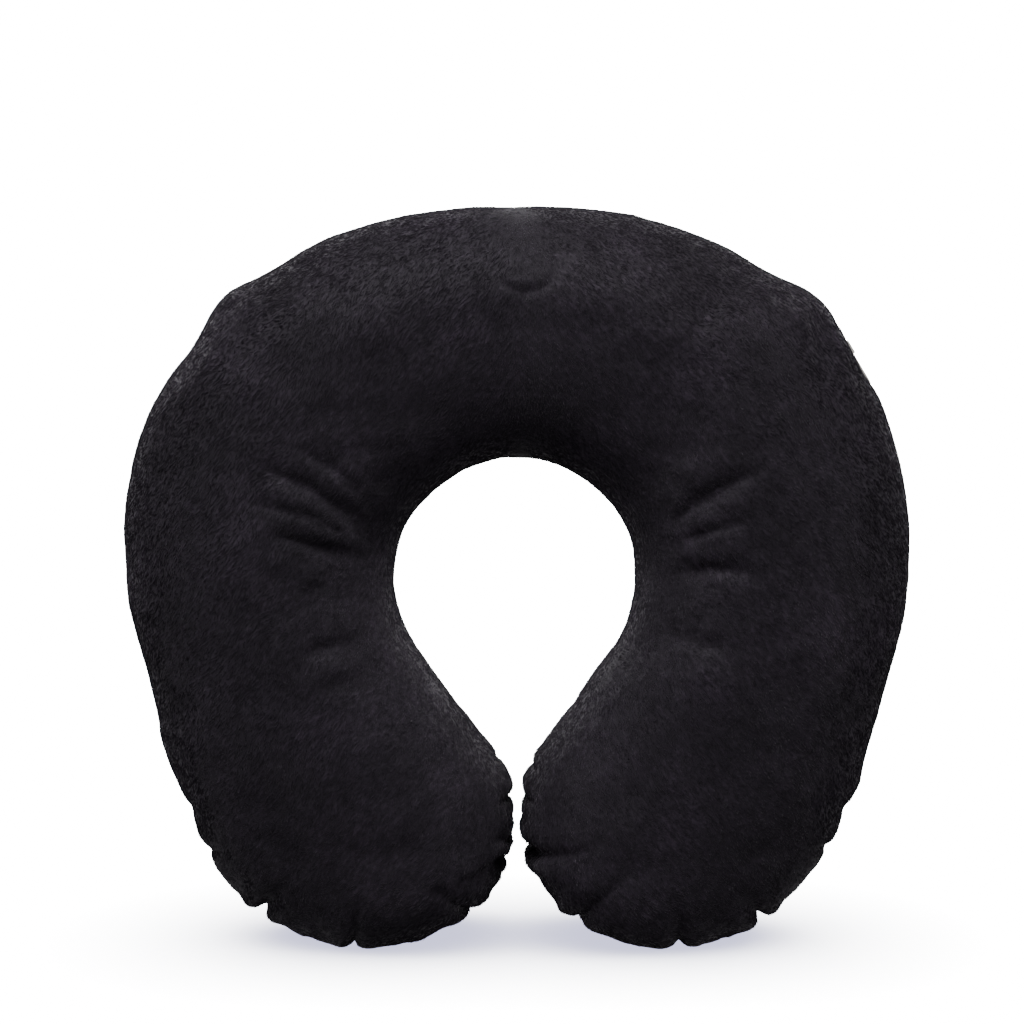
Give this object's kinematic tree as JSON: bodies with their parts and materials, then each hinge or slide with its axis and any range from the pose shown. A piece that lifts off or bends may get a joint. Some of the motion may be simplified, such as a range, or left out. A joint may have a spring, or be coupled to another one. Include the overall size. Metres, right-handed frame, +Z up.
{
  "type": "u shaped neck pillow",
  "caption": "Inflatable u-shaped travel neck pillow with a zipped plush cover, a welded air bladder and a push-in valve, standing on its leg ends.",
  "frame": {"origin": "on the floor, under the middle of the standing pillow", "axes": "+Z up from the two leg ends to the crown; -Y out of the front face; X across the U, whose plane of symmetry is X = 0"},
  "size_m": [0.3899, 0.11, 0.366],
  "materials": {
    "plush": "matt short-pile plush",
    "thread": "matt polyester thread",
    "tape": "woven polyester tape",
    "coil": "satin nylon",
    "nickel": "polished nickel plate",
    "film": "satin vinyl film",
    "soft_vinyl": "soft moulded vinyl"
  },
  "bodies": {
    "pillow": {"cover_front_panel": "plush", "cover_back_panel": "plush", "cover_seam_thread": "thread", "zip_tape_front": "tape", "zip_tape_back": "tape", "zip_coil_front": "coil", "zip_coil_back": "coil", "zip_stitch_front": "thread", "zip_stitch_back": "thread", "zip_top_stop_front": "nickel", "zip_top_stop_back": "nickel", "zip_bottom_stop": "nickel", "bladder_front_panel": "film", "bladder_back_panel": "film", "bladder_weld_seam": "film", "valve_body": "soft_vinyl"},
    "zip_slider": {"zip_slider": "nickel"},
    "zip_pull_tab": {"zip_pull_tab": "nickel"},
    "valve_stem": {"valve_stem": "soft_vinyl", "valve_tether": "soft_vinyl"},
    "valve_check_flap": {"valve_check_flap": "soft_vinyl"},
    "valve_plug": {"valve_plug": "soft_vinyl"}
  },
  "joints": [
    {"name": "zip_slide", "type": "hinge", "parent": "pillow", "child": "zip_slider", "pos_m": [0, 0, 0.196], "axis": [0, 1, 0], "range_deg": [0, 40.87]},
    {"name": "pull_tab_swing", "type": "hinge", "parent": "zip_slider", "child": "zip_pull_tab", "pos_m": [0.16487, 0, 0.29624], "axis": [0, -1, 0], "range_deg": [0, 140]},
    {"name": "valve_stem_slide", "type": "slide", "parent": "pillow", "child": "valve_stem", "axis": [0, -0.7928, 0.6095], "range_m": [0, 0.005]},
    {"name": "valve_plug_slide", "type": "slide", "parent": "valve_stem", "child": "valve_plug", "axis": [0, -0.7928, 0.6095], "range_m": [0, 0.005], "deforming": ["valve_tether"]},
    {"name": "check_flap_swing", "type": "hinge", "parent": "valve_stem", "child": "valve_check_flap", "pos_m": [0.0002, -0.01758, 0.31814], "axis": [0, 0.6095, 0.7928], "range_deg": [0, 60]}
  ]
}
